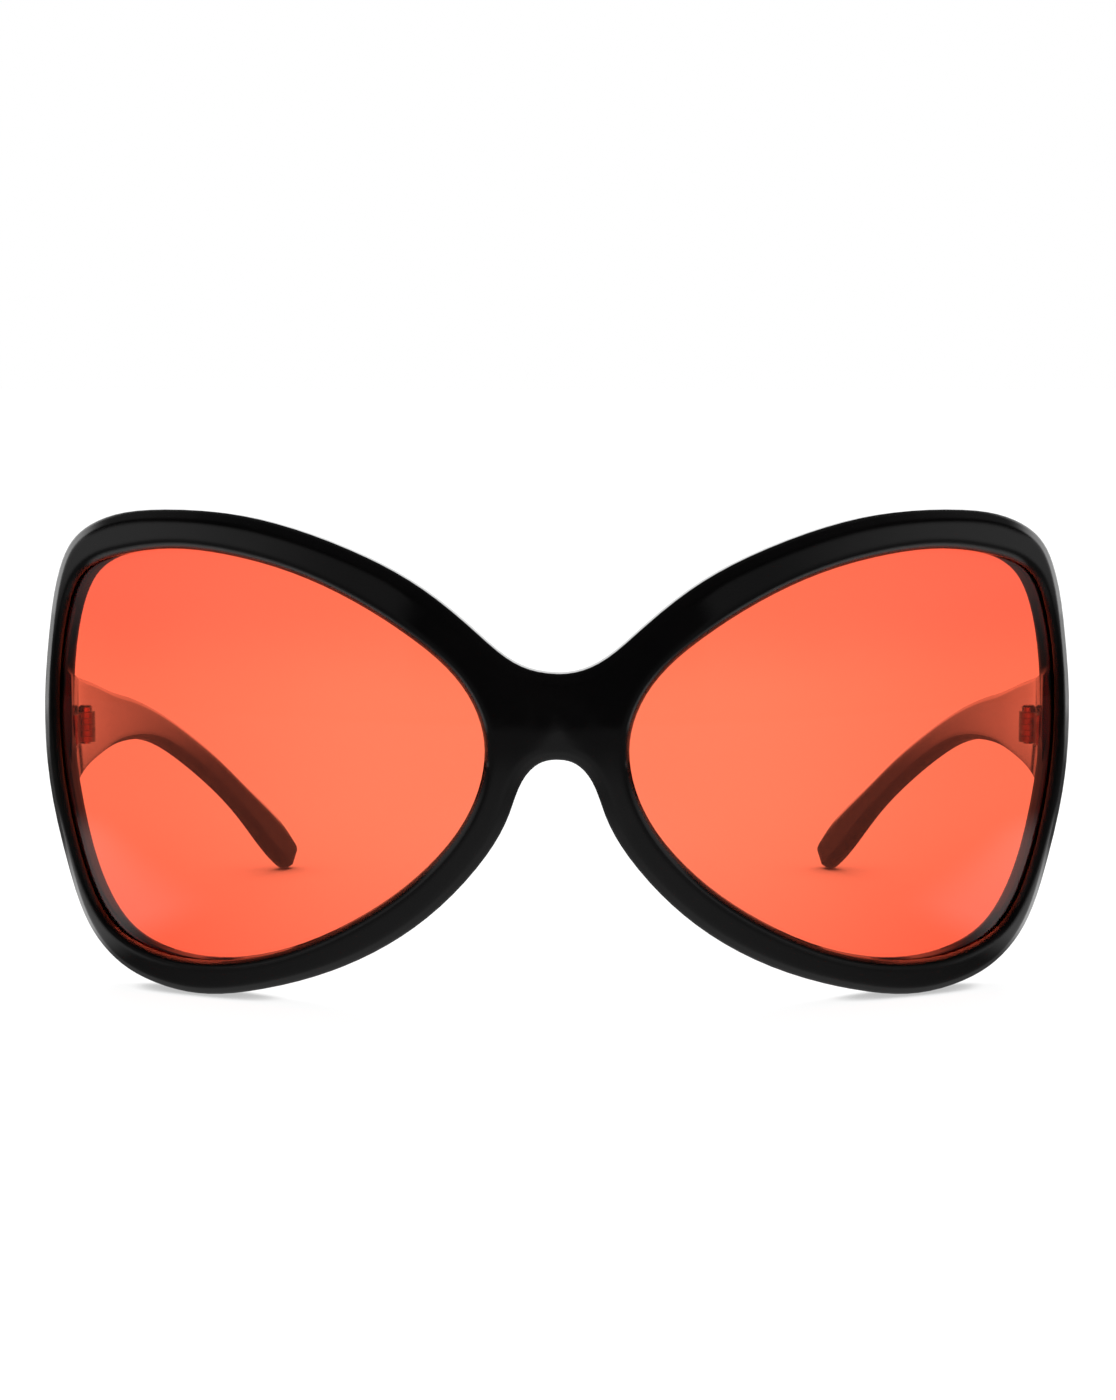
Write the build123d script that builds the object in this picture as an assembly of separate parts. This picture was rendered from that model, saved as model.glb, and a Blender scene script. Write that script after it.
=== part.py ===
from build123d import *
import os

# Butterfly sunglasses: one moulded, wrapped front with two tinted lenses, and two moulded
# temples on five-knuckle hinges. Millimetres. X runs across the wearer's face, the front
# looks along -Y, Z is up, and the frame stands on its lower rims and its temple tips.
# Left and right are the wearer's: left is +X. Everything is modelled for the left side,
# with the bridge's front at Y 0, and mirrored. The last step centres it over the origin.

# The lenses' boxes and the rims round them
lens_width = 62.8
lens_height = 59.6
lens_gap = 20.2
rim_side = 2.35
rim_top = 5.4
rim_bottom = 5.3
rim_depth = 6.2

# The front wraps the face on a sphere. Its outer walls draw in a little towards the back, the
# lens openings' walls rather more, and behind the lenses most at the sides and least up and down
wrap_radius = 118.0
side_draw = 500.0
lens_draw = 300.0
flange_draw = 180.0
flange_rise = 1000.0

# Edges of the front: outside at the front and back, and round the lens openings
front_bevel = 1.5
back_bevel = 0.9
lip_bevel = 1.0
inner_bevel = 0.4

# The lenses and their grooves
lens_set_back = 1.3
lens_thickness = 2.0
groove_depth = 0.8
seat_gap = 0.04

# Nose pads, moulded on the back of the rims
pad_radius = 2.0
pad_long = 8.6
pad_side = 10.7
pad_height = 26.2
pad_behind = 1.3
pad_lean = 29.5

# Temples: the joint, how far the arm's inner face is inside the front's side, and its course
end_reach = 4.7
joint_gap = 0.1
arm_edge = 4.75
arm_height = 36.9
arm_reach = 104.0
arm_inset = 24.8
arm_drop = 35.47
arm_thickness = 3.6
arm_tip_thickness = 3.3
arm_root_height = 16.6
arm_waist_height = 4.1
arm_tip_height = 6.1
arm_bevel = 0.8
arm_tip_bevel = 1.25

# Hinges: barrel, leaves and screw
barrel_radius = 1.4
bore_radius = 0.75
knuckle_height = 0.84
knuckle_gap = 0.05
knuckles = 5
hinge_height = 37.3
hinge_standoff = 1.05
leaf_thickness = 0.9
leaf_length = 3.4
leaf_gap = 0.2
anchor_depth = 1.3
anchor_length = 2.4
anchor_height = 2.6
barb_depth = 0.5
barb_reach = 0.3
pocket_gap = 0.02
barrel_relief = 0.12
screw_radius = 0.7
head_radius = 1.0
head_height = 0.95
head_bevel = 0.25
slot_width = 0.3
slot_depth = 0.4
tail_length = 0.3

# Faces that each outline's wall is made in
wall_parts = 8

# Reach of cutting bodies past what they cut, and how near a point lies to count as on a face
overrun = 10.0
on_face = 0.02

half_width = lens_gap / 2 + lens_width + rim_side
front_height = rim_bottom + lens_height + rim_top
mid_height = front_height / 2
arm_side = half_width - arm_edge

# Outline of the front's left half, from the middle of the brow round to the nose arch: shares
# of half the gap between the lenses, of a lens's width with its rim, and of the front's height
outline_shares = [
    (0.0000, 0.0000, 0.6895), (0.5521, 0.0000, 0.7080), (1.0000, 0.0161, 0.7682), (1.0000, 0.1455, 0.8610),
    (1.0000, 0.3203, 0.9390), (1.0000, 0.5217, 0.9904), (1.0000, 0.7300, 1.0000), (1.0000, 0.8617, 0.9775),
    (1.0000, 0.9357, 0.9296), (1.0000, 0.9699, 0.8564), (1.0000, 0.9890, 0.7425), (1.0000, 1.0000, 0.5761),
    (1.0000, 0.9868, 0.4090), (1.0000, 0.9468, 0.2412), (1.0000, 0.8962, 0.1148), (1.0000, 0.8250, 0.0450),
    (1.0000, 0.7442, 0.0125), (1.0000, 0.6496, 0.0000), (1.0000, 0.5091, 0.0193), (1.0000, 0.3295, 0.0760),
    (1.0000, 0.1602, 0.1682), (1.0000, 0.0204, 0.2961), (0.6631, 0.0000, 0.4088), (0.4210, 0.0000, 0.4894),
    (0.2213, 0.0000, 0.5135), (0.0000, 0.0000, 0.5195),
]

# Outline of the left lens as seen, as shares of its box from the nose side and the bottom
lens_shares = [
    (0.0000, 0.5451), (0.0078, 0.4772), (0.0437, 0.3818), (0.1111, 0.2844), (0.2156, 0.1840),
    (0.3328, 0.1043), (0.4897, 0.0313), (0.6669, 0.0000), (0.7815, 0.0159), (0.8744, 0.0695),
    (0.9332, 0.1782), (0.9716, 0.3258), (0.9939, 0.4730), (1.0000, 0.6198), (0.9962, 0.7173),
    (0.9731, 0.8639), (0.9535, 0.9156), (0.9159, 0.9536), (0.8559, 0.9781), (0.7284, 1.0000),
    (0.5849, 0.9897), (0.4448, 0.9552), (0.3074, 0.8959), (0.1723, 0.8117), (0.0386, 0.6779),
]

# Centres of the arm's sections, from inside the rim to the tip, as shares of its reach,
# inset and drop, then the shares of root height and tip height over the waist's, and last how
# much of the section's size is left at the rounded end
arm_shares = [
    (-0.068, 0.000, 0.000, 1.200, 0.00, 1.00),
    (0.000, 0.000, 0.000, 1.000, 0.00, 1.00),
    (0.107, 0.011, 0.014, 0.728, 0.00, 1.00),
    (0.175, 0.031, 0.026, 0.584, 0.00, 1.00),
    (0.233, 0.054, 0.039, 0.448, 0.00, 1.00),
    (0.291, 0.085, 0.053, 0.320, 0.00, 1.00),
    (0.350, 0.122, 0.071, 0.235, 0.00, 1.00),
    (0.427, 0.182, 0.106, 0.140, 0.00, 1.00),
    (0.524, 0.275, 0.176, 0.045, 0.00, 1.00),
    (0.621, 0.386, 0.283, 0.010, 0.05, 1.00),
    (0.738, 0.545, 0.450, 0.000, 0.18, 1.00),
    (0.854, 0.729, 0.664, 0.000, 0.55, 1.00),
    (0.978, 0.956, 0.946, 0.000, 1.00, 1.00),
    (0.988, 0.976, 0.971, 0.000, 1.00, 0.90),
    (0.994, 0.988, 0.986, 0.000, 1.00, 0.72),
    (0.998, 0.996, 0.995, 0.000, 1.00, 0.46),
    (1.000, 1.000, 1.000, 0.000, 1.00, 0.18),
]


def wrap_depth(x, z, back=0):
    """Y of the sphere that lies so far behind the front surface, at a place seen from the front."""
    return wrap_radius - ((wrap_radius - back) ** 2 - x ** 2 - (z - mid_height) ** 2) ** 0.5


def wrap_slab(front, back):
    """Layer of the wrap between two depths behind the front surface."""
    shell = Sphere(wrap_radius - front) - Sphere(wrap_radius - back)
    return Location((0, wrap_radius, mid_height)) * shell


def joint_setback():
    """Y of the end piece's face, where the temple is cut from it."""
    return wrap_depth(arm_side, arm_height, rim_depth) + end_reach


def ring(outline, plane_y, draw, rise):
    """Where the walls through an outline on the front surface cross a plane, while they draw in
    towards the middle: sideways to reach it at one distance, and up and down at another."""
    points = []
    for x, z in outline:
        depth = wrap_depth(x, z)
        across = (draw - plane_y) / (draw - depth)
        up = (rise - plane_y) / (rise - depth)
        points.append((x * across, plane_y, mid_height + (z - mid_height) * up))
    curve = Spline(*points, periodic=True)
    spans = [curve.trim(part / wall_parts, (part + 1) / wall_parts) for part in range(wall_parts)]
    return Face(Wire(spans))


def walls(outline, draw, rise):
    """Body whose walls pass through an outline on the front surface, narrowing towards the back."""
    planes = (-overrun, joint_setback() + overrun)
    return loft([ring(outline, plane_y, draw, rise) for plane_y in planes], ruled=True)


def front_outline():
    """The front's outline, all the way round, seen from the front."""
    half = []
    for nose, across, up in outline_shares:
        x = nose * lens_gap / 2 + across * (lens_width + rim_side)
        half.append((x, up * front_height))
    return half + [(-x, z) for x, z in reversed(half[1:-1])]


def lens_outline(grow=0):
    """The left lens's outline seen from the front, grown by so much on each side of its box."""
    width = lens_width + 2 * grow
    height = lens_height + 2 * grow
    nose_side = lens_gap / 2 - grow
    bottom = rim_bottom - grow
    return [(nose_side + across * width, bottom + up * height) for across, up in lens_shares]


def lens_walls(grow=0):
    """Body whose walls pass through the left lens's outline, grown by so much."""
    return walls(lens_outline(grow), lens_draw, lens_draw)


def lies_on_wrap(edge, back):
    """Whether an edge lies on the surface so far behind the front, and crosses it sideways."""
    places = [edge.position_at(share) for share in (0.25, 0.5, 0.75)]
    off = max(abs(place.Y - wrap_depth(place.X, place.Z, back)) for place in places)
    return off < on_face and edge.bounding_box().size.X > on_face


def wall_edges(body, back, wall):
    """The edges where a wall of a body meets the surface so far behind the front."""
    edges = body.edges().filter_by(lambda edge: lies_on_wrap(edge, back))
    return edges.filter_by(lambda edge: wall.distance_to(edge.position_at(0.5)) < on_face)


def make_lens():
    """Left lens, cut from a wrapped sheet, with the edge that seats in the rim's groove."""
    sheet = wrap_slab(lens_set_back, lens_set_back + lens_thickness)
    return sheet & lens_walls(groove_depth)


def make_groove():
    """The space that the left lens's edge takes in the rim."""
    sheet = wrap_slab(lens_set_back - seat_gap, lens_set_back + lens_thickness + seat_gap)
    return sheet & lens_walls(groove_depth + seat_gap)


def make_lip_space():
    """The left opening from the front to the middle of the lens."""
    return wrap_slab(-overrun, lens_set_back + lens_thickness / 2) & lens_walls()


def make_flange_space():
    """The left opening from the middle of the lens to the back."""
    behind = wrap_slab(lens_set_back + lens_thickness / 2, rim_depth + overrun)
    return behind & walls(lens_outline(), flange_draw, flange_rise)


def both_sides(shape):
    """A shape of the left side and its mirror image."""
    return [shape, mirror(shape, about=Plane.YZ)]


def make_rims():
    """Both rims and the bridge in one wrapped bar with bevelled edges, and openings with lips."""
    outside = walls(front_outline(), side_draw, side_draw)
    rims = wrap_slab(0, rim_depth) & outside
    rims = chamfer(wall_edges(rims, 0, outside), front_bevel)
    rims = chamfer(wall_edges(rims, rim_depth, outside), back_bevel)
    for space in both_sides(make_lip_space()):
        rims -= space
        rims = chamfer(wall_edges(rims, 0, space), lip_bevel)
    for space in both_sides(make_flange_space()):
        rims -= space
        rims = chamfer(wall_edges(rims, rim_depth, space), inner_bevel)
    return rims


def make_pad():
    """Left nose pad, a rod with round ends that leans along the rim, half sunk in its back."""
    pad = rod(pad_radius, -pad_long / 2, pad_long / 2)
    for end in (-pad_long / 2, pad_long / 2):
        pad += Location((0, 0, end)) * Sphere(pad_radius)
    y = wrap_depth(pad_side, pad_height, rim_depth) + pad_behind
    return Location((pad_side, y, pad_height), (0, -pad_lean, 0)) * pad


def arm_point(row):
    """Centre of the left arm's section at one row of its shares."""
    back, inset, drop = row[:3]
    x = arm_side + arm_thickness / 2 - arm_inset * inset
    return (x, joint_setback() + arm_reach * back, arm_height - arm_drop * drop)


def arm_size(row):
    """Thickness, height and bevel of the left arm's section at one row of its shares."""
    back, root, tip, left = row[0], row[3], row[4], row[5]
    thickness = arm_thickness + (arm_tip_thickness - arm_thickness) * max(back, 0)
    swell = (arm_root_height - arm_waist_height) * root + (arm_tip_height - arm_waist_height) * tip
    bevel = arm_bevel + (arm_tip_bevel - arm_bevel) * tip
    return thickness * left, (arm_waist_height + swell) * left, bevel * left


def make_arm():
    """Left arm in one sweep, from inside the rim and over the joint to the rounded tip."""
    line = Spline(*[arm_point(row) for row in arm_shares])
    sections = []
    for row in arm_shares:
        point = arm_point(row)
        along = line.tangent_at(Vector(*point))
        frame = Plane(origin=point, x_dir=(along.Y, -along.X, 0), z_dir=along)
        thickness, height, bevel = arm_size(row)
        section = Rectangle(thickness, height)
        sections.append(frame * chamfer(section.vertices(), bevel))
    return loft(sections)


def joint_plane(behind):
    """Plane across the arm where it is cut, so far behind the end piece's face."""
    return Plane((0, joint_setback() + behind, 0), z_dir=(0, 1, 0))


def block(across, along, up):
    """Box between pairs of limits along X, Y and Z."""
    size = [high - low for low, high in (across, along, up)]
    middle = [(high + low) / 2 for low, high in (across, along, up)]
    return Location(middle) * Box(*size)


def rod(radius, low, high):
    """Upright cylinder on the hinge's axis between two heights."""
    return Location((0, 0, (low + high) / 2)) * Cylinder(radius, high - low)


def barrel_height():
    """Height of all the knuckles and the gaps between them."""
    return knuckles * knuckle_height + (knuckles - 1) * knuckle_gap


def hinge_frame():
    """Foot of the left hinge's barrel on its axis."""
    y = joint_setback() + joint_gap / 2
    return Location((arm_side - hinge_standoff, y, hinge_height - barrel_height() / 2))


def leaf_body(grow=0):
    """Plate of a leaf that reaches along +Y, with its barbed anchor, grown for its pocket."""
    start = barrel_radius + leaf_gap
    middle_y = start + leaf_length / 2
    middle_z = barrel_height() / 2
    inner = barrel_radius - leaf_thickness
    neck = anchor_length / 2 - barb_reach + grow
    barb = anchor_length / 2 + grow
    tall = anchor_height / 2 + grow
    deep = barrel_radius + anchor_depth + grow
    plate = block((inner, barrel_radius + grow), (start - grow, start + leaf_length + grow),
                  (-grow, barrel_height() + grow))
    stem = block((inner, deep), (middle_y - neck, middle_y + neck), (middle_z - tall, middle_z + tall))
    hook = block((deep - barb_depth - 2 * grow, deep), (middle_y - barb, middle_y + barb),
                 (middle_z - tall, middle_z + tall))
    return plate + stem + hook


def leaf_links(levels, grow=0):
    """The straps that join a leaf's plate to its knuckles."""
    inner = barrel_radius - leaf_thickness
    links = []
    for level in levels:
        low = level * (knuckle_height + knuckle_gap)
        links.append(block((inner, barrel_radius + grow), (0, barrel_radius + leaf_gap),
                           (low - grow, low + knuckle_height + grow)))
    return links


def make_leaf(levels):
    """Hinge leaf on its axis, reaching along +Y, with a bored knuckle at each level."""
    leaf = leaf_body() + leaf_links(levels)
    for level in levels:
        low = level * (knuckle_height + knuckle_gap)
        leaf += rod(barrel_radius, low, low + knuckle_height)
    return leaf - rod(bore_radius, -overrun, overrun)


def leaf_pocket(levels):
    """The space that a leaf and the whole barrel take in the plastic, reaching along +Y."""
    relief = rod(barrel_radius + barrel_relief, -barrel_relief, barrel_height() + barrel_relief)
    return leaf_body(pocket_gap) + leaf_links(levels, pocket_gap) + relief


def make_screw():
    """Hinge screw on its axis: shank, bevelled head with a slot on top, and a short tail below."""
    top = barrel_height()
    head = rod(head_radius, top, top + head_height)
    head = chamfer(head.edges().sort_by(Axis.Z)[-1], head_bevel)
    slot = block((-head_radius, head_radius), (-slot_width / 2, slot_width / 2),
                 (top + head_height - slot_depth, top + head_height + overrun))
    return rod(screw_radius, -tail_length, top) + head - slot


def toward_front(shape):
    """The same shape on the hinge's axis, reaching along -Y instead."""
    return mirror(shape, about=Plane.XZ)


def make_front(end_piece, hinge_pocket):
    """The whole front: the rims, pads and end pieces, less the lenses' grooves and the pockets."""
    added = both_sides(make_pad()) + both_sides(end_piece)
    cut = both_sides(make_groove()) + both_sides(hinge_pocket)
    return make_rims() + added - cut


def main():
    """Make the front and each piece of the left side, mirror these, and write a file for each."""
    rim_levels = range(0, knuckles, 2)
    arm_levels = range(1, knuckles, 2)
    arm = make_arm()
    temple = split(arm, bisect_by=joint_plane(joint_gap), keep=Keep.TOP)
    temple -= hinge_frame() * leaf_pocket(arm_levels)
    end_piece = split(arm, bisect_by=joint_plane(0), keep=Keep.BOTTOM)
    front_pocket = hinge_frame() * toward_front(leaf_pocket(rim_levels))
    left_side = {
        "lens": make_lens(),
        "rim_hinge": hinge_frame() * toward_front(make_leaf(rim_levels)),
        "temple_hinge": hinge_frame() * make_leaf(arm_levels),
        "hinge_screw": hinge_frame() * make_screw(),
        "temple": temple,
    }
    front = make_front(end_piece, front_pocket)
    pieces = {"front_frame": front}
    for name, piece in left_side.items():
        pieces[name + "_left"] = piece
        pieces[name + "_right"] = mirror(piece, about=Plane.YZ)
    depth = temple.bounding_box().max.Y
    centre = Location((0, -depth / 2, -front.bounding_box().min.Z))
    os.makedirs("parts", exist_ok=True)
    for name, piece in pieces.items():
        export_step(centre * piece, f"parts/{name}.step")


main()
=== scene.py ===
"""Looks of the butterfly sunglasses: finishes, floor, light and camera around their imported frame.

Metres, in the frame's own axes: X across the wearer's face, the front looks along -Y, Z is up.
"""

import logging
import math
from dataclasses import dataclass
from enum import Enum
from typing import Any, Mapping, Optional, Sequence, Union

import bpy
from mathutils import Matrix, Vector

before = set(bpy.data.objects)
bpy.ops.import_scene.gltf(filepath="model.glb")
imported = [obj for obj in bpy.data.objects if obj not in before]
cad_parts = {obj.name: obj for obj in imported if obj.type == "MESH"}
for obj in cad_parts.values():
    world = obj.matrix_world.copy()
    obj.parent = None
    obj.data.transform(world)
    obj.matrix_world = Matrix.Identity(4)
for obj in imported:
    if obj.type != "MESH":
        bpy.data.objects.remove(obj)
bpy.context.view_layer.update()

log = logging.getLogger("sunglasses")

Color = tuple[float, float, float]
Place = tuple[float, float, float]
Span = tuple[float, float]

# Rays that the Bevel and Ambient Occlusion nodes send out at each place.
SHADER_SAMPLES = 8
# Millimetres across the camera's sensor.
SENSOR_WIDTH = 36.0
# Degrees by which a camera that looks straight down is turned up until it looks level.
LEVEL_TILT = 90.0


class Side(Enum):
    """The wearer's two sides, as the node names end."""

    LEFT = "left"
    RIGHT = "right"


class Slot(Enum):
    """The record's material slots."""

    FRAME_PLASTIC = "frame_plastic"
    TEMPLE_PLASTIC = "temple_plastic"
    LENS_TINT = "lens_tint"
    HINGE_STEEL = "hinge_steel"
    SCREW_STEEL = "screw_steel"


class Wire:
    """An output socket on which Python's operators add Math nodes."""

    def __init__(self, graph: "Graph", socket: bpy.types.NodeSocket) -> None:
        """Keeps the socket and the graph that it belongs to."""
        self.graph = graph
        self.socket = socket

    def _join(self, operation: str, first: "Value", second: "Value") -> "Wire":
        """Adds the node of one operation on two numbers.

        Args:
            operation: The operation's name.
            first: The left number.
            second: The right number.

        Returns:
            The result.
        """
        return self.graph.node("ShaderNodeMath", {"operation": operation}, {0: first, 1: second})

    def __add__(self, other: "Value") -> "Wire":
        """The sum."""
        return self._join("ADD", self, other)

    def __radd__(self, other: "Value") -> "Wire":
        """The sum, with this value on the right."""
        return self._join("ADD", other, self)

    def __sub__(self, other: "Value") -> "Wire":
        """The difference."""
        return self._join("SUBTRACT", self, other)

    def __rsub__(self, other: "Value") -> "Wire":
        """The difference, with this value on the right."""
        return self._join("SUBTRACT", other, self)

    def __mul__(self, other: "Value") -> "Wire":
        """The product."""
        return self._join("MULTIPLY", self, other)

    def __rmul__(self, other: "Value") -> "Wire":
        """The product, with this value on the right."""
        return self._join("MULTIPLY", other, self)


Value = Union[Wire, float, Sequence[float]]


class Graph:
    """A node tree with one way of adding nodes to it."""

    def __init__(self, tree: bpy.types.NodeTree) -> None:
        """Empties the tree."""
        self.tree = tree
        tree.nodes.clear()

    @staticmethod
    def _set_stops(ramp: bpy.types.ColorRamp, stops: Sequence[tuple[float, Color]]) -> None:
        """Gives a colour ramp its stops.

        Args:
            ramp: The ramp.
            stops: Position and colour of each stop.
        """
        while len(ramp.elements) < len(stops):
            ramp.elements.new(1.0)
        for element, (position, color) in zip(ramp.elements, stops):
            element.position = position
            element.color = (*color, 1.0)

    def node(
        self,
        kind: str,
        settings: Optional[Mapping[str, Any]] = None,
        inputs: Optional[Mapping[Union[str, int], Value]] = None,
        output: Union[str, int] = 0,
    ) -> Wire:
        """Adds a node.

        Args:
            kind: The node's type.
            settings: Its properties, set before its sockets; a ramp's are its stops.
            inputs: Values or wires by socket name or number.
            output: The output that is wanted.

        Returns:
            That output.
        """
        made = self.tree.nodes.new(kind)
        for name, setting in (settings or {}).items():
            if name == "stops":
                self._set_stops(made.color_ramp, setting)
            else:
                setattr(made, name, setting)
        for key, value in (inputs or {}).items():
            socket = made.inputs[key]
            if isinstance(value, Wire):
                self.tree.links.new(value.socket, socket)
            elif socket.type == "RGBA":
                socket.default_value = (*value, 1.0)
            else:
                socket.default_value = value
        if not made.outputs:
            return Wire(self, made.inputs[0])
        return Wire(self, made.outputs[output])

    def place(self, stretch: Place = (1.0, 1.0, 1.0)) -> Wire:
        """Places in the frame's own axes, in metres.

        Args:
            stretch: Factors along X, Y and Z.

        Returns:
            The vector.
        """
        place = self.node("ShaderNodeTexCoord", output="Object")
        return self.node("ShaderNodeMapping", inputs={"Vector": place, "Scale": stretch})

    def part(self, vector: Wire, axis: str) -> Wire:
        """One part of a vector.

        Args:
            vector: A place or a direction.
            axis: X, Y or Z.

        Returns:
            The number along that axis.
        """
        return self.node("ShaderNodeSeparateXYZ", inputs={0: vector}, output=axis)

    def side(self, vector: Wire) -> Wire:
        """How far a vector reaches across, on either side.

        Args:
            vector: A place or a direction.

        Returns:
            The size of its X.
        """
        return self.node("ShaderNodeMath", {"operation": "ABSOLUTE"}, {0: self.part(vector, "X")})

    def ray(self, kind: str) -> Wire:
        """Whether the ray that asks is of one kind.

        Args:
            kind: The kind, as the Light Path node names it.

        Returns:
            1 if it is, 0 if not.
        """
        return self.node("ShaderNodeLightPath", output=kind)

    def noise(self, size: float, detail: float = 2.0, stretch: Place = (1.0, 1.0, 1.0)) -> Wire:
        """Soft noise with features of a given size.

        Args:
            size: The features' size in metres.
            detail: Octaves of finer detail.
            stretch: Factors along X, Y and Z.

        Returns:
            The noise, about 0.5 in the middle.
        """
        inputs = {"Vector": self.place(stretch), "Scale": 1.0 / size, "Detail": detail}
        return self.node("ShaderNodeTexNoise", inputs=inputs, output="Fac")

    def ramp(self, value: Wire, stops: Sequence[tuple[float, Color]]) -> Wire:
        """Colours along a value.

        Args:
            value: What runs along the ramp.
            stops: Position and colour of each stop.

        Returns:
            The colour.
        """
        return self.node("ShaderNodeValToRGB", {"stops": stops}, {"Fac": value})

    def spread(self, value: Wire, span: Span, start: float = 0.0, end: float = 1.0) -> Wire:
        """Maps a span of a value softly on another, and holds the result outside of it.

        Args:
            value: The value.
            span: Start and end of its span.
            start: Result at the start.
            end: Result at the end.

        Returns:
            The mapped value.
        """
        inputs = {
            "Value": value,
            "From Min": span[0],
            "From Max": span[1],
            "To Min": start,
            "To Max": end,
        }
        return self.node("ShaderNodeMapRange", {"interpolation_type": "SMOOTHSTEP"}, inputs)

    def rounded(self, radius: float) -> Wire:
        """The surface's normal, turned softly over its edges.

        Args:
            radius: The edges' radius in metres.

        Returns:
            The normal.
        """
        return self.node("ShaderNodeBevel", {"samples": SHADER_SAMPLES}, {"Radius": radius}, "Normal")

    def bump(self, height: Wire, depth: float, normal: Wire, strength: float = 1.0) -> Wire:
        """A normal from a height.

        Args:
            height: The height, as a share of the depth.
            depth: The relief's depth in metres.
            normal: The normal that it starts from.
            strength: How much of it shows.

        Returns:
            The normal.
        """
        inputs = {"Height": height, "Distance": depth, "Strength": strength, "Normal": normal}
        return self.node("ShaderNodeBump", inputs=inputs, output="Normal")


def grey(level: float) -> Color:
    """A neutral colour of one level."""
    return (level, level, level)


WHITE = grey(1.0)


def new_material(name: str) -> tuple[bpy.types.Material, Graph]:
    """Makes an empty material.

    Args:
        name: Its name.

    Returns:
        The material and its graph.
    """
    material = bpy.data.materials.new(name)
    material.use_nodes = True
    return material, Graph(material.node_tree)


@dataclass(frozen=True)
class PolishedPlastic:
    """Moulded and tumble-polished opaque plastic with slight flow marks and handling haze."""

    name: str
    deep: Color = (0.0013, 0.0013, 0.0015)
    pale: Color = (0.0030, 0.0026, 0.0027)
    flow_size: float = 0.011
    flow_detail: float = 3.0
    flow_span: Span = (0.3, 0.7)
    haze_size: float = 0.006
    haze_detail: float = 4.0
    haze_span: Span = (0.45, 0.75)
    scratch_size: float = 0.0009
    scratch_stretch: Place = (1.0, 0.12, 1.0)
    scratch_span: Span = (0.60, 0.72)
    scratch_share: float = 0.35
    clean_roughness: float = 0.055
    hazy_roughness: float = 0.13
    wave_depth: float = 0.00002
    wave_strength: float = 0.5
    edge_radius: float = 0.0012
    index: float = 1.5
    coat: float = 0.0
    coat_roughness: float = 0.04

    def material(self) -> bpy.types.Material:
        """Makes the material.

        Returns:
            The material.
        """
        material, graph = new_material(self.name)
        flow = graph.noise(self.flow_size, self.flow_detail)
        haze = graph.spread(graph.noise(self.haze_size, self.haze_detail), self.haze_span)
        scratches = graph.noise(self.scratch_size, stretch=self.scratch_stretch)
        marks = graph.spread(scratches, self.scratch_span, 0.0, self.scratch_share)
        roughness = self.clean_roughness + (haze + marks) * (self.hazy_roughness - self.clean_roughness)
        inputs = {
            "Base Color": graph.ramp(flow, list(zip(self.flow_span, (self.deep, self.pale)))),
            "Roughness": roughness,
            "IOR": self.index,
            "Coat Weight": self.coat,
            "Coat Roughness": self.coat_roughness,
            "Normal": graph.bump(flow, self.wave_depth, graph.rounded(self.edge_radius), self.wave_strength),
        }
        shader = graph.node("ShaderNodeBsdfPrincipled", inputs=inputs)
        graph.node("ShaderNodeOutputMaterial", inputs={"Surface": shader})
        return material


@dataclass(frozen=True)
class TintedLens:
    """Clear moulded lens plastic, dyed through, a little deeper near its lower, upper and outer edges."""

    name: str
    light: Color = (1.0, 0.192, 0.098)
    deep: Color = (1.0, 0.112, 0.053)
    rise: Span = (0.005, 0.032)
    fall: Span = (0.045, 0.060)
    outward: Span = (0.020, 0.068)
    share: float = 0.5
    top_share: float = 0.1
    cloud_size: float = 0.03
    cloud_share: float = 0.004
    index: float = 1.5

    def material(self) -> bpy.types.Material:
        """Makes the material.

        Returns:
            The material.
        """
        material, graph = new_material(self.name)
        place = graph.place()
        clouded = graph.part(place, "Z") + graph.noise(self.cloud_size) * self.cloud_share
        rising = graph.spread(clouded, self.rise, 0.0, self.share)
        middle = rising * graph.spread(clouded, self.fall, 1.0, self.top_share)
        inward = graph.spread(graph.side(place), self.outward, self.share, 0.0)
        inputs = {
            "Base Color": graph.ramp(middle + inward, [(0.0, self.deep), (1.0, self.light)]),
            "Roughness": 0.0,
            "IOR": self.index,
            "Transmission Weight": 1.0,
        }
        shader = graph.node("ShaderNodeBsdfPrincipled", inputs=inputs)
        graph.node("ShaderNodeOutputMaterial", inputs={"Surface": shader})
        return material


@dataclass(frozen=True)
class SatinSteel:
    """Steel with a drawn grain along one axis and slight tarnish in patches."""

    name: str
    bright: Color = (0.42, 0.41, 0.40)
    dull: Color = (0.26, 0.25, 0.25)
    roughness: float = 0.30
    grain_size: float = 0.00012
    grain_detail: float = 3.0
    grain_stretch: Place = (1.0, 1.0, 0.05)
    grain_depth: float = 0.000004
    grain_roughness: float = 0.12
    edge_radius: float = 0.00008
    patch_size: float = 0.002
    patch_span: Span = (0.35, 0.6)

    def material(self) -> bpy.types.Material:
        """Makes the material.

        Returns:
            The material.
        """
        material, graph = new_material(self.name)
        grain = graph.noise(self.grain_size, self.grain_detail, self.grain_stretch)
        patches = graph.noise(self.patch_size)
        inputs = {
            "Base Color": graph.ramp(patches, list(zip(self.patch_span, (self.dull, self.bright)))),
            "Metallic": 1.0,
            "Roughness": self.roughness + grain * self.grain_roughness,
            "Normal": graph.bump(grain, self.grain_depth, graph.rounded(self.edge_radius)),
        }
        shader = graph.node("ShaderNodeBsdfPrincipled", inputs=inputs)
        graph.node("ShaderNodeOutputMaterial", inputs={"Surface": shader})
        return material


def dress_node(name: str, finish: bpy.types.Material) -> None:
    """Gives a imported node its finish.

    Args:
        name: The node.
        finish: Its material.
    """
    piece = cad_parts[name]
    piece.data.materials.clear()
    piece.data.materials.append(finish)


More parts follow.
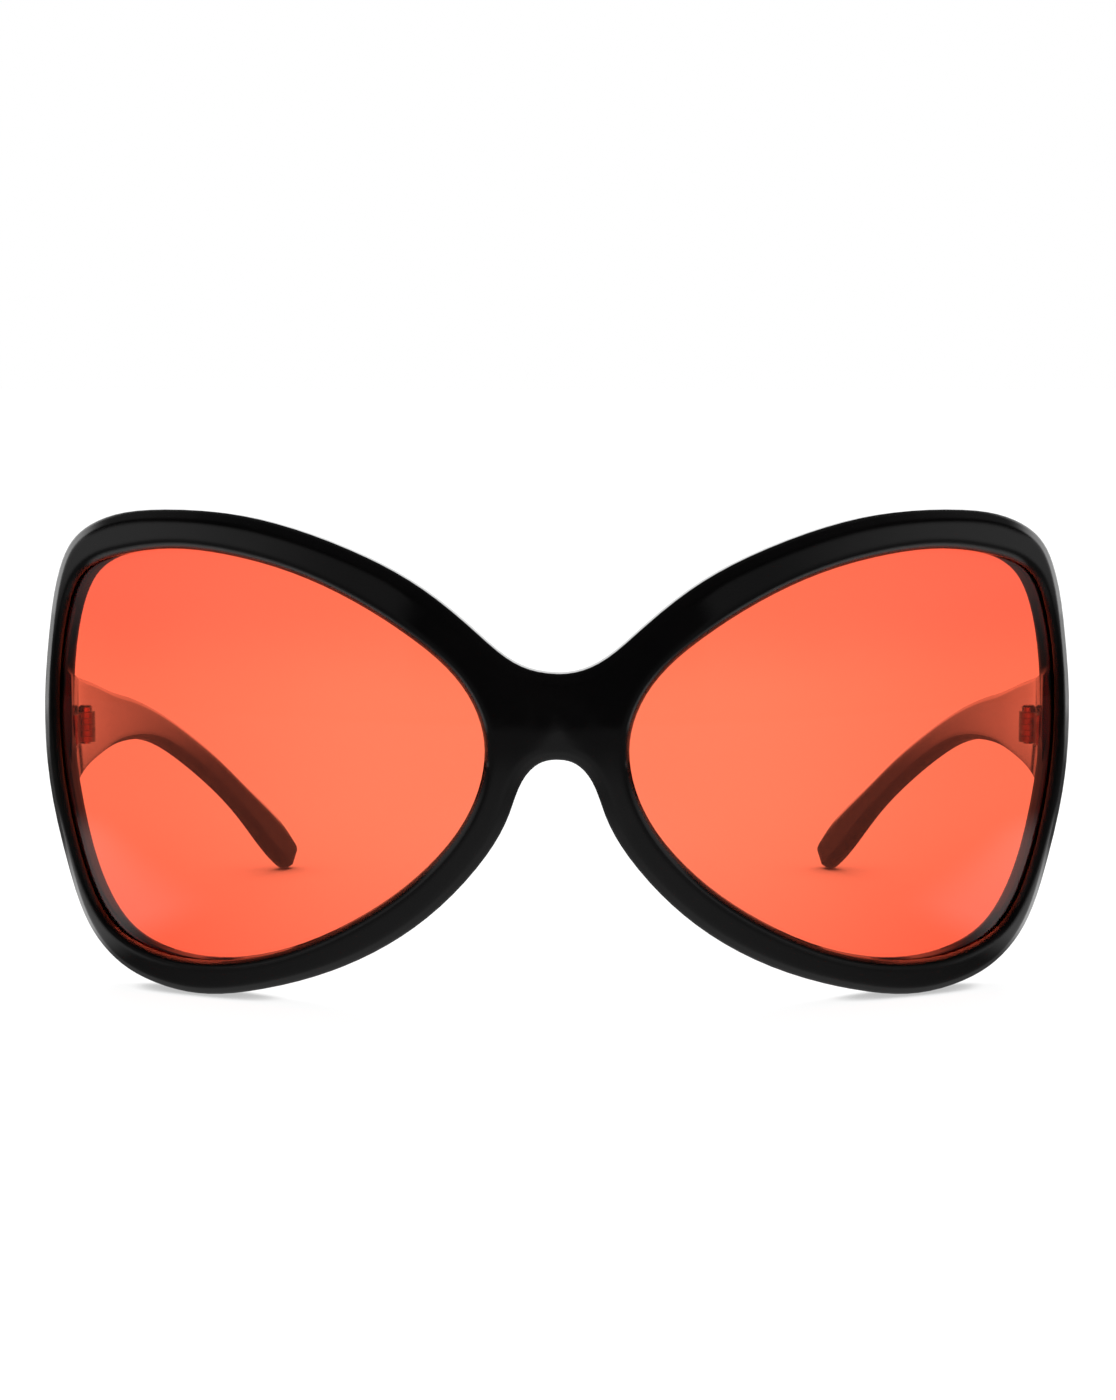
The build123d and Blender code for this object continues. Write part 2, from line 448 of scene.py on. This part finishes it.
@dataclass
class Front:
    """The moulded front: rims, bridge, end pieces and nose pads in one."""

    finish: PolishedPlastic = PolishedPlastic("front_black_plastic")

    def dress(self) -> None:
        """Polishes the front."""
        dress_node("front_frame", self.finish.material())


@dataclass
class Lenses:
    """The two tinted lenses."""

    finish: TintedLens = TintedLens("red_orange_lens")

    def dress(self) -> None:
        """Tints both lenses."""
        tint = self.finish.material()
        for side in Side:
            name = f"lens_{side.value}"
            dress_node(name, tint)


@dataclass
class Hinges:
    """The leaves and screws of both hinges."""

    leaf_finish: SatinSteel = SatinSteel("hinge_leaf_steel")
    screw_finish: SatinSteel = SatinSteel("hinge_screw_steel", bright=(0.55, 0.54, 0.53), roughness=0.20)

    def dress(self) -> None:
        """Gives the leaves and screws their steels."""
        leaf = self.leaf_finish.material()
        screw = self.screw_finish.material()
        for side in Side:
            for part in ("rim_hinge", "temple_hinge"):
                dress_node(f"{part}_{side.value}", leaf)
            dress_node(f"hinge_screw_{side.value}", screw)


@dataclass
class Temples:
    """The two moulded temples."""

    finish: PolishedPlastic = PolishedPlastic("temple_black_plastic", flow_size=0.016, coat=1.0)

    def dress(self) -> None:
        """Polishes both temples."""
        plastic = self.finish.material()
        for side in Side:
            name = f"temple_{side.value}"
            dress_node(name, plastic)


@dataclass
class Lamp:
    """A rectangular softbox."""

    name: str
    place: Place
    aim: Place
    width: float
    height: float
    power: float
    mirrored: bool = False

    def build(self) -> bpy.types.Object:
        """Makes the lamp, turned to its aim.

        Returns:
            The lamp.
        """
        data = bpy.data.lights.new(self.name, "AREA")
        data.shape = "RECTANGLE"
        data.size = self.width
        data.size_y = self.height
        data.energy = self.power
        lamp = bpy.data.objects.new(self.name, data)
        lamp.visible_glossy = self.mirrored
        lamp.location = self.place
        toward = Vector(self.aim) - Vector(self.place)
        lamp.rotation_euler = toward.to_track_quat("-Z", "Y").to_euler()
        bpy.context.scene.collection.objects.link(lamp)
        return lamp


@dataclass(frozen=True)
class MirroredFloor:
    """The floor as polished faces mirror it, a painted reflection: painted shade dim in front, a painted lit
    strip beside the rims, white behind.

    Each span is a distance across, on either side, or a place along Y, in metres.
    """

    behind_along: Span = (0.12, 0.29)
    behind_side: Span = (0.16, 0.30)
    behind_outer_level: float = 0.12
    strip_inner_side: Span = (0.068, 0.084)
    strip_outer_side: Span = (0.13, 0.18)
    strip_front: Span = (-0.075, -0.055)
    strip_back: Span = (0.0, 0.04)
    strip_level: float = 0.9
    far_side: Span = (0.24, 0.34)
    far_along: Span = (0.06, 0.14)
    far_level: float = 0.60
    middle_side: Span = (0.015, 0.075)
    middle_level: float = 0.28
    front_level: float = 0.10

    def level(self, graph: Graph) -> Wire:
        """Makes the level by place.

        Args:
            graph: The floor's graph.

        Returns:
            The level.
        """
        place = graph.place()
        side = graph.side(place)
        along = graph.part(place, "Y")
        # Painted light and shade for reflections: white behind, a lit strip beside the rims, dim shade near
        # the frame.
        behind = graph.spread(along, self.behind_along)
        behind = behind * graph.spread(side, self.behind_side, 1.0, self.behind_outer_level)
        strip = graph.spread(side, self.strip_inner_side, 0.0, self.strip_level)
        strip = strip * graph.spread(side, self.strip_outer_side, 1.0, 0.0)
        strip_length = graph.spread(along, self.strip_front) * graph.spread(along, self.strip_back, 1.0, 0.0)
        far = graph.spread(side, self.far_side, 0.0, self.far_level) * graph.spread(along, self.far_along)
        near = graph.spread(side, self.middle_side, self.middle_level, self.front_level)
        near = near + strip * strip_length + far
        return near + (1.0 - near) * behind


@dataclass(frozen=True)
class MirroredRoom:
    """The studio as polished faces mirror it: dark round the camera, cards at the sides, white behind.

    Each span is a part of the direction's unit vector.
    """

    dark_front: float = 0.02
    near_card_side: Span = (0.36, 0.41)
    near_card_level: float = 0.14
    far_card_side: Span = (0.50, 0.93)
    far_card_level: float = 0.33
    card_top: Span = (0.40, 0.46)
    card_rise: Span = (0.0, 0.28)
    card_foot_share: float = 0.08
    backdrop_along: Span = (0.30, 0.60)
    backdrop_top: Span = (0.30, 0.55)
    above_backdrop: float = 0.06

    def level(self, graph: Graph) -> Wire:
        """Makes the level by direction.

        Args:
            graph: The world's graph.

        Returns:
            The level.
        """
        direction = graph.node("ShaderNodeTexCoord", output="Generated")
        side = graph.side(direction)
        along, up = graph.part(direction, "Y"), graph.part(direction, "Z")
        near_card = graph.spread(side, self.near_card_side, 0.0, self.near_card_level)
        far_card = graph.spread(side, self.far_card_side, 0.0, self.far_card_level)
        foot = graph.spread(up, self.card_rise, self.card_foot_share)
        front = self.dark_front + (near_card + far_card) * graph.spread(up, self.card_top, 1.0, 0.0) * foot
        behind = graph.spread(along, self.backdrop_along)
        behind = behind * graph.spread(up, self.backdrop_top, 1.0, self.above_backdrop)
        return front + (1.0 - front) * behind


@dataclass(frozen=True)
class ContactShade:
    """A painted shade on the floor's glow, darker beside and under bodies.

    The reach is how far off a body still counts, in metres. Depth is the shade's share at the
    least open places of the span.
    """

    reach: float
    span: Span
    depth: float

    def share(self, graph: Graph) -> Wire:
        """Makes the shade by place.

        Args:
            graph: The floor's graph.

        Returns:
            0 in the open, up to the depth beside bodies.
        """
        samples = {"samples": SHADER_SAMPLES}
        open_share = graph.node("ShaderNodeAmbientOcclusion", samples, {"Distance": self.reach}, "AO")
        return graph.spread(open_share, self.span, self.depth, 0.0)


@dataclass
class Studio:
    """White floor, soft light and the camera in front, a little above."""

    camera_place: Place = (0.00014, -0.57031, 0.09852)
    camera_pitch: float = 6.117
    camera_lens: float = 93.40
    floor_size: float = 8.0
    floor_color: Color = grey(0.8)
    floor_glow: float = 0.90
    floor_share: float = 0.25
    rim_shade: ContactShade = ContactShade(0.003, (0.2, 0.7), 0.45)
    tip_shade: ContactShade = ContactShade(0.014, (0.3, 1.0), 0.6)
    tip_shade_along: Span = (0.05, 0.07)
    world_light: float = 0.55
    mirrored_floor: MirroredFloor = MirroredFloor()
    mirrored_room: MirroredRoom = MirroredRoom()
    lamps: tuple[Lamp, ...] = (
        Lamp("top_softbox", (0.0, 0.50, 0.95), (0.0, 0.0, 0.0), 1.1, 0.6, 7.0),
    )

    def _floor_material(self) -> bpy.types.Material:
        """Makes the floor's white: near 1 to the camera, with soft shadows, partly real and partly painted
        into its glow near bodies, and its own painted look in mirrors.

        Returns:
            The material.
        """
        material, graph = new_material("white_floor")
        plain = graph.node("ShaderNodeBsdfDiffuse", inputs={"Color": self.floor_color})
        faint = graph.node("ShaderNodeBsdfDiffuse", inputs={"Color": grey(self.floor_share)})
        near_tips = graph.spread(graph.part(graph.place(), "Y"), self.tip_shade_along)
        # Painted contact shadows: the glow's colour darkens near the rims and under the temple tips.
        glow_color = 1.0 - self.rim_shade.share(graph) - self.tip_shade.share(graph) * near_tips
        glow = graph.node("ShaderNodeEmission", inputs={"Color": glow_color, "Strength": self.floor_glow})
        shown = graph.node("ShaderNodeAddShader", inputs={0: faint, 1: glow})
        # Painted reflection: the floor glows to glossy rays with painted shade near the frame and a painted
        # lit strip beside the rims.
        mirrored = graph.node("ShaderNodeEmission", inputs={"Color": self.mirrored_floor.level(graph)})
        glossy = graph.ray("Is Glossy Ray")
        unseen = graph.node("ShaderNodeMixShader", inputs={0: glossy, 1: plain, 2: mirrored})
        mixed = graph.node("ShaderNodeMixShader", inputs={0: self._direct(graph), 1: unseen, 2: shown})
        graph.node("ShaderNodeOutputMaterial", inputs={"Surface": mixed})
        return material

    def _floor(self) -> None:
        """Lays the floor."""
        half = self.floor_size / 2
        corners = [(-half, -half, 0.0), (half, -half, 0.0), (half, half, 0.0), (-half, half, 0.0)]
        mesh = bpy.data.meshes.new("floor")
        mesh.from_pydata(corners, [], [(0, 1, 2, 3)])
        mesh.materials.append(self._floor_material())
        floor = bpy.data.objects.new("floor", mesh)
        bpy.context.scene.collection.objects.link(floor)

    @staticmethod
    def _direct(graph: Graph) -> Wire:
        """Whether a ray comes from the camera, at once or through a lens.

        Args:
            graph: The graph that asks.

        Returns:
            1 where it does, 0 elsewhere.
        """
        rays = {0: graph.ray("Is Camera Ray"), 1: graph.ray("Is Transmission Ray")}
        return graph.node("ShaderNodeMath", {"operation": "MAXIMUM"}, rays)

    def _world(self) -> None:
        """Makes the surroundings: white to the camera, even as light, and a studio to polished faces."""
        world = bpy.data.worlds.new("studio")
        world.use_nodes = True
        bpy.context.scene.world = world
        graph = Graph(world.node_tree)
        light = graph.node("ShaderNodeBackground", inputs={"Color": WHITE, "Strength": self.world_light})
        room = self.mirrored_room.level(graph)
        mirror = graph.node("ShaderNodeBackground", inputs={"Color": room, "Strength": 1.0})
        white = graph.node("ShaderNodeBackground", inputs={"Color": WHITE, "Strength": 1.0})
        lit = graph.node("ShaderNodeMixShader", inputs={0: graph.ray("Is Glossy Ray"), 1: light, 2: mirror})
        seen = graph.node("ShaderNodeMixShader", inputs={0: self._direct(graph), 1: lit, 2: white})
        graph.node("ShaderNodeOutputWorld", inputs={"Surface": seen})

    def _camera(self) -> None:
        """Makes the camera and gives it to the scene."""
        data = bpy.data.cameras.new("camera")
        data.lens = self.camera_lens
        data.sensor_width = SENSOR_WIDTH
        camera = bpy.data.objects.new("camera", data)
        camera.location = self.camera_place
        camera.rotation_euler = (math.radians(LEVEL_TILT - self.camera_pitch), 0.0, 0.0)
        bpy.context.scene.collection.objects.link(camera)
        bpy.context.scene.camera = camera

    def build(self) -> None:
        """Sets the stage up."""
        self._camera()
        self._floor()
        self._world()
        for lamp in self.lamps:
            lamp.build()
        bpy.context.scene.view_settings.view_transform = "Standard"


def main() -> None:
    """Sets the stage and dresses each sub-assembly."""
    logging.basicConfig(level=logging.INFO, format="%(name)s: %(message)s")
    Studio().build()
    for part in (Front(), Lenses(), Hinges(), Temples()):
        part.dress()
        log.info("%s dressed", type(part).__name__)


if __name__ == "__main__":
    main()
